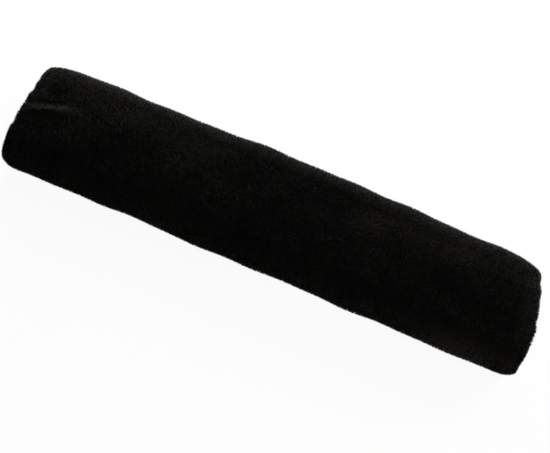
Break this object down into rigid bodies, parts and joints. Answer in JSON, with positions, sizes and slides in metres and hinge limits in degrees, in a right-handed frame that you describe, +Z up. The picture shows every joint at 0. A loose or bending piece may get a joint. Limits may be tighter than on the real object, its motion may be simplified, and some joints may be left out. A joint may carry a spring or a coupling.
{
  "type": "seat belt shoulder pad",
  "caption": "Flat sleeve of shorn black sheepskin, wool side out, wrapped round a car seat belt and closed underneath with hook and loop tape.",
  "frame": {"origin": "bottom centre of the bounding box, on the surface that the pad lies on", "axes": "+X along the belt from mouth to mouth, +Y across the pad towards the side of the shorter flap, +Z up, away from the closure"},
  "size_m": [0.3044, 0.0734, 0.0296],
  "materials": {
    "wool": "dense shorn sheep's wool, dyed black",
    "skin": "undyed suede, pale grey white, with raw cut edges",
    "hook_tape": "woven tape with rows of stiff nylon hooks",
    "loop_tape": "woven tape with a brushed nylon loop pile"
  },
  "bodies": {
    "root": {"wool_pile": "wool", "skin": "skin", "hook_tape": "hook_tape", "loop_tape": "loop_tape"}
  },
  "joints": []
}
